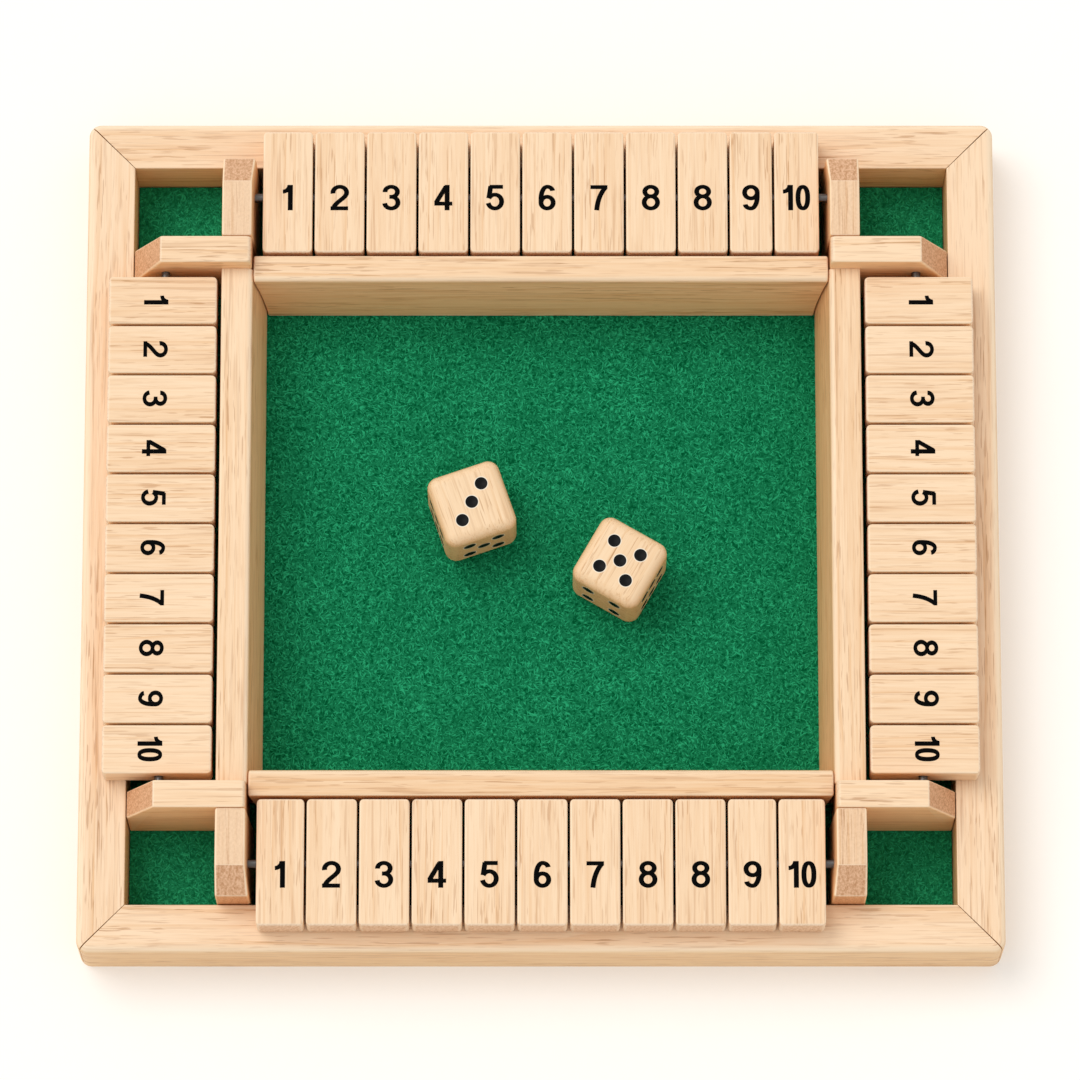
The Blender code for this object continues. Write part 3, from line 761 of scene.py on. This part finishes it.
def number_tile(name, quarters, number):
    """A tile as a ring round its rod. Going round it is a rounded rectangle, seen along the rod. Going along it
    starts in the hole, comes out over the side, turns over the edge on a quarter ellipse that is wider at
    the tile's ends than at its faces, crosses to the other side and goes back through the hole."""
    low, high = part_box(name)
    joint = next(joint for joint in frame["joints"] if joint["child"] == name)
    corners = turned([low, high], -quarters)
    least, most = corners.min(0), corners.max(0)
    rod = turned(joint["pos_m"], -quarters)
    half_width = (most[0] - least[0]) / 2
    middle = (most + least) / 2
    half_long, half_thick = (most[1] - least[1]) / 2, (most[2] - least[2]) / 2
    off_rod = middle[1] - rod[1]

    def loop_of(draw_long, draw_thick):
        loop, facing = rectangle_loop(half_long - draw_long, half_thick - draw_thick, tile_end_round, 5, 26, 7)
        return loop + (off_rod, 0), facing

    turn = np.linspace(np.pi / 2, 0, 8)
    rows, worn, ends = [], [], []
    rim, facing = loop_of(tile_plan_round, tile_edge_round)
    round_rod = np.arctan2(rim[:, 1], rim[:, 0])
    circle = np.stack([np.cos(round_rod), np.sin(round_rod)], 1)
    for radius, depth in ((tile_hole_radius, tile_hole_ease), (tile_hole_radius + tile_hole_ease, 0)):
        rows.append(np.column_stack([np.full(len(rim), half_width - depth), circle * radius]))
    hole_edge = rows[-1][:, 1:]
    for share in (0.03, 0.45, 0.985):
        rows.append(np.column_stack([np.full(len(rim), half_width), hole_edge + (rim - hole_edge) * share]))
    worn += [np.zeros(len(rim))] * 5
    ends += [np.zeros(len(rim))] * 5
    radius = tile_edge_round + (tile_plan_round - tile_edge_round) * np.cos(facing) ** 2
    for angle in turn:
        draw = 1 - math.cos(angle)
        loop, facing = loop_of(tile_plan_round * draw, tile_edge_round * draw)
        rows.append(np.column_stack([half_width - radius * (1 - math.sin(angle)), loop]))
        soft = np.abs(np.sin(2 * facing)) * math.cos(angle)
        worn.append(np.maximum(soft, math.sin(2 * angle)))
        ends.append(np.abs(np.cos(facing)) * math.cos(angle))
    rows.append(rows[-1] - (edge_hold, 0, 0))
    worn.append(worn[-1])
    ends.append(ends[-1])
    between = [rows[-1] * (share, 1, 1) for share in np.linspace(1, -1, 9)[1:-1]]
    points = np.array(rows + between + [row * (-1, 1, 1) for row in rows[::-1]])
    worn = np.array(worn + [worn[-1]] * len(between) + worn[::-1])
    ends = np.array(ends + [ends[-1]] * len(between) + ends[::-1])
    rows, columns = points.shape[:2]
    make_piece(
        name + "_body",
        turned(points + (middle[0], rod[1], rod[2]), quarters),
        grid_faces(rows, columns, rows_close=True, columns_close=True).tolist(),
        tile_pine,
        "tile_wood",
        body=name,
        stands_for=[name],
        smooth=50,
        grain=sawn_from(points, 1, number, slant=0.5),
        end_grain=ends,
        worn=worn,
    )


rows_of_tiles = (("back", 0, 11), ("left", 1, 10), ("front", 2, 11), ("right", 3, 10))
for row, quarters, count in rows_of_tiles:
    for place_in_row in range(1, count + 1):
        number_tile(f"{row}_tile_{place_in_row:02d}", quarters, 40 + 12 * quarters + place_in_row)


# Numbers
# Plain black figures are printed on the tiles with a thick ink that stands just proud of the wood. The long
# rows read upright from the front, 1 to 8, 8, 9, 10; the side rows run 1 to 10 with their tops to the right.
ink, ink_shader, tap = new_finish("printing_ink", 0.6, Specular_IOR_Level=0.04)
place = tap.node("TexCoord", output="Object")
mottle = tap.node("TexNoise", (), {"Vector": place, "Scale": 2300.0, "Detail": 3.0})
ink_bump = tap.node("Bump", (), {"Strength": 0.15, "Distance": 0.00004, "Height": mottle})
ink_colour = mottle.between(0.3, 0.8).tint(daylight(1, 1, 1), daylight(8, 8, 8))
feed(ink_shader, Base_Color=ink_colour, Roughness=mottle * 0.3 + 0.5, Normal=ink_bump)

stem_half = 0.094
bar_half = 0.078
figure_gap = 0.098
closed_points = 56


def bow(x, y, rise_x, rise_y, start, end, count=26):
    """Points along an ellipse about (x, y), from one angle to another, in degrees."""
    angle = np.radians(np.linspace(start, end, count))
    return np.stack([x + rise_x * np.cos(angle), y + rise_y * np.sin(angle)], 1)


def sweep(*pull, count=20):
    """Points along the cubic curve that starts and ends at the first and last point, drawn by the two between."""
    t = np.linspace(0, 1, count)[:, None]
    a, b, c, d = np.array(pull, float)
    return a * (1 - t) ** 3 + 3 * b * t * (1 - t) ** 2 + 3 * c * t**2 * (1 - t) + d * t**3


def bar(x0, y0, x1, y1):
    """Points along a straight stroke."""
    return np.linspace((x0, y0), (x1, y1), 8)


def round_stroke(x, y, rise_x, rise_y, square=1.0):
    """An ellipse all the way round, squarer as the power of its sine and cosine falls below 1."""
    angle = np.linspace(0, 2 * np.pi, closed_points, endpoint=False)
    wide = np.sign(np.cos(angle)) * np.abs(np.cos(angle)) ** square
    tall = np.sign(np.sin(angle)) * np.abs(np.sin(angle)) ** square
    return np.stack([x + rise_x * wide, y + rise_y * tall], 1)


def six(width):
    """A closed bowl, and a stroke over the top and down its left side."""
    middle, bowl = width / 2, width / 2 - stem_half
    hook = bow(middle, 0.75, bowl - 0.02, 0.177, 6, 90)
    spine = bow(middle, 0.45, bowl, 0.477, 92, 180)
    side = bar(stem_half, 0.44, stem_half, 0.28)
    return [round_stroke(middle, 0.302, bowl, 0.229), np.concatenate([hook, spine, side])]


# Each figure is one high: its width, its strokes' middle lines, and the strokes that close on themselves.
three_top = bow(0.325, 0.7285, 0.232, 0.1985, 184, -90, 34)
three_bowl = bow(0.33, 0.3015, 0.25, 0.2285, 90, -174, 34)
five_bowl = bow(0.315, 0.344, 0.254, 0.271, 152, -168, 40)
seven_leg = sweep((0.562, 0.89), (0.40, 0.70), (0.27, 0.42), (0.235, 0.0))
two_top = bow(0.345, 0.70, 0.257, 0.227, 190, -36, 30)
two_leg = sweep(two_top[-1], (0.42, 0.40), (0.15, 0.28), (0.098, 0.05))
strokes = {
    "0": (0.553, [round_stroke(0.2765, 0.5, 0.2765 - stem_half, 0.5 - bar_half, 0.86)]),
    "1": (0.373, [bar(0.285, 0, 0.285, 1), bow(0, 1.0, 0.262, 0.262, -90, -4)]),
    "2": (0.678, [np.concatenate([two_top[:-1], two_leg]), bar(0.0, bar_half, 0.662, bar_half)]),
    "3": (0.67, [three_top, np.concatenate([bar(0.255, 0.53, 0.32, 0.53), three_bowl])]),
    "4": (0.678, [bar(0.481, 0, 0.481, 1), bar(0, 0.262, 0.678, 0.262), bar(0.437, 0.93, 0.066, 0.30)]),
    "5": (0.657, [bar(0.118, 0.925, 0.622, 0.925), bar(0.158, 0.95, 0.088, 0.47), five_bowl]),
    "6": (0.645, six(0.645)),
    "7": (0.643, [bar(0, 0.913, 0.643, 0.913), seven_leg]),
    "8": (0.678, [round_stroke(0.339, 0.7385, 0.225, 0.1885), round_stroke(0.339, 0.3115, 0.251, 0.2385)]),
    "9": (0.664, [np.array([0.664, 1.0]) - stroke for stroke in six(0.664)]),
}


def inked(path, level):
    """A stroke as a low ribbon: its section, flat on top with softened edges, is carried along the middle line.
    It is as wide as the mean of stem and bar, each weighed by the square of how far the line goes its way."""
    closes = len(path) == closed_points
    if closes:
        onward = np.roll(path, -1, 0) - np.roll(path, 1, 0)
    else:
        onward = np.gradient(path, axis=0)
    onward /= np.linalg.norm(onward, axis=1)[:, None]
    half = np.hypot(bar_half * onward[:, 0], stem_half * onward[:, 1])[:, None]
    aside = np.stack([-onward[:, 1], onward[:, 0]], 1)
    out = np.array([-1, -1, -0.93, 0.93, 1, 1])
    lift = np.array([-0.00003, 0.00001, 0.000035, 0.000035, 0.00001, -0.00003]) + level
    flat = path[:, None] + aside[:, None] * (half * out)[..., None]
    faces = grid_faces(len(path), 6, rows_close=closes, columns_close=True)
    faces = faces.tolist() if closes else with_ends(faces, len(path), 6)
    return flat, lift, faces


def print_number(name, figures, height, middle, across, upward, surface):
    """Prints figures on a tile: side by side about the middle, across and upward along two level directions."""
    widths = [strokes[figure][0] for figure in figures]
    start = -(sum(widths) + figure_gap * (len(figures) - 1)) / 2
    points, faces = [], []
    for figure, width in zip(figures, widths):
        for order, path in enumerate(strokes[figure][1]):
            flat, lift, ribbon = inked(path, order * 0.000002)
            spread = ((flat[..., :1] + start) * across + (flat[..., 1:] - 0.5) * upward) * height
            spread = spread + np.array([middle[0], middle[1], 0])
            spread[..., 2] = surface + lift
            base = sum(len(part) for part in points)
            faces += [[corner + base for corner in face] for face in ribbon]
            points.append(spread.reshape(-1, 3))
        start += width + figure_gap
    make_piece(name + "_number", np.concatenate(points), faces, ink, "tile_wood", body=name)


long_row_height = 0.00875
side_row_height = 0.0080
long_row_figures = ["1", "2", "3", "4", "5", "6", "7", "8", "8", "9", "10"]
number_lines = {"back": 0.1108, "front": -0.1169, "left": -0.1263, "right": 0.1248}
for row, quarters, count in rows_of_tiles:
    for place_in_row in range(1, count + 1):
        name = f"{row}_tile_{place_in_row:02d}"
        low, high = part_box(name)
        middle = (low + high) / 2
        if quarters % 2 == 0:
            spot = (middle.x, number_lines[row])
            ways = (np.array([1.0, 0, 0]), np.array([0, 1.0, 0]))
            print_number(name, long_row_figures[place_in_row - 1], long_row_height, spot, *ways, high.z)
        else:
            spot = (number_lines[row], middle.y)
            ways = (np.array([0, -1.0, 0]), np.array([1.0, 0, 0]))
            print_number(name, str(place_in_row), side_row_height, spot, *ways, high.z)


# Dice
# Two pine dice with well-rounded edges lie turned on the felt, three up on one and five up on the other. The
# pips are drilled as shallow bowls and painted black; opposite faces add up to seven.
die_round = 0.0038
pip_radius = 0.0021
pip_offset = 0.0049
pip_depth = 0.0003
die_grid = 113

die_pine = pine_finish(
    "die_pine",
    pale=daylight(249, 219, 182),
    deep=daylight(236, 196, 151),
    line=daylight(188, 140, 94),
    end=daylight(238, 202, 164),
    # rim is a deeper colour on the dice's rounded edges, side_shade a painted shade on upright faces
    rim=daylight(244, 206, 160),
    side_shade=daylight(252, 232, 206),
    roughness=0.36,
)


def drill_pips(finish):
    """Paints the pips: matt black where the distance past a pip's rim is below nought, and a pale ring just
    outside it, a painted highlight on the pit's edge. The wood's highlights are held low all over the die."""
    tree = finish.node_tree
    shader = tree.nodes["Principled BSDF"]
    tap = Wire(tree)
    wood = Wire(tree, shader.inputs["Base Color"].links[0].from_socket)
    polish = Wire(tree, shader.inputs["Roughness"].links[0].from_socket)
    past = tap.node("Attribute", {"attribute_name": "past_pip"}, output="Fac")
    paint = 1 - past.between(-0.05, 0.05)
    # Painted highlight: a pale ring just outside each pip.
    ring = (1 - past.between(0.08, 0.36)) * 0.9
    colour = paint.tint(ring.tint(wood, daylight(255, 248, 232)), daylight(5, 5, 6))
    shader.inputs["Specular IOR Level"].default_value = 0.16
    feed(shader, Base_Color=colour, Roughness=polish * (1 - paint) + paint * 0.5)


drill_pips(die_pine)


def pip_spots(count):
    """Where the pips of a face lie, in steps of the pip offset. A six has two rows of three across the face."""
    spots = [(0, 0)] if count % 2 else []
    spots += [(-1, -1), (1, 1)] if count > 1 else []
    spots += [(-1, 1), (1, -1)] if count > 3 else []
    return np.array(spots + ([(0, -1), (0, 1)] if count > 5 else []), float)


def make_die(name, turn, top, front, right, number):
    """A die: six square grids, each point moved from the cube to the rounded cube by going from its nearest
    point of the cube's core straight out by the radius. Inside a pip the face sinks by the depth times the
    square of 1 less the squared share of the radius. The grids are then joined along the cube's edges."""
    low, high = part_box(name)
    middle = (low + high) / 2
    half = (high.z - low.z) / 2
    core = half - die_round
    line = np.linspace(-half, half, die_grid)
    across, up = np.meshgrid(line, line, indexing="ij")
    points, past = [], []
    sides = (
        (top, (1, 0, 0), (0, 1, 0)),
        (7 - top, (1, 0, 0), (0, -1, 0)),
        (front, (1, 0, 0), (0, 0, 1)),
        (7 - front, (-1, 0, 0), (0, 0, 1)),
        (right, (0, 1, 0), (0, 0, 1)),
        (7 - right, (0, -1, 0), (0, 0, 1)),
    )
    for count, one_way, other_way in sides:
        outward = np.cross(one_way, other_way)
        cube = across[..., None] * one_way + up[..., None] * other_way + half * outward
        nearest = np.clip(cube, -core, core)
        step = cube - nearest
        surface = nearest + die_round * step / np.linalg.norm(step, axis=-1)[..., None]
        spots = pip_spots(count) * pip_offset
        distance = np.hypot(across[..., None] - spots[:, 0], up[..., None] - spots[:, 1]).min(-1)
        sunk = pip_depth * np.clip(1 - (distance / pip_radius) ** 2, 0, 1) ** 2
        points.append((surface - outward * sunk[..., None]).reshape(-1, 3))
        past.append((distance - pip_radius).ravel() * 1000)
    points, past = np.concatenate(points), np.concatenate(past)
    squares = grid_faces(die_grid, die_grid)
    faces = np.concatenate([squares + side * die_grid**2 for side in range(6)])
    half_microns = np.round(points * 2e6).astype(int)
    _, kept, joined = np.unique(half_microns, axis=0, return_index=True, return_inverse=True)
    points, past, faces = points[kept], past[kept], joined.ravel()[faces]
    log = sawn_from(points, 1, number, slant=0.8)
    cos, sin = math.cos(turn), math.sin(turn)
    x, y, z = points.T
    edge = np.sort(np.abs(points), axis=1)[:, 1]
    placed = np.stack([x * cos - y * sin + middle.x, x * sin + y * cos + middle.y, z + middle.z], 1)
    make_piece(
        name + "_body",
        placed,
        faces.tolist(),
        die_pine,
        "dice_wood",
        body=name,
        stands_for=[name],
        smooth=60,
        grain=log,
        end_grain=np.clip((np.abs(y) - half + 0.0004) / 0.0004, 0, 1) * 0.4,
        worn=np.clip((edge - core) / die_round * 1.6, 0, 1) * 0.7,
        past_pip=past,
    )


make_die("die_1", math.radians(19), 3, 5, 1, 101)
make_die("die_2", math.radians(-30), 5, 4, 6, 102)
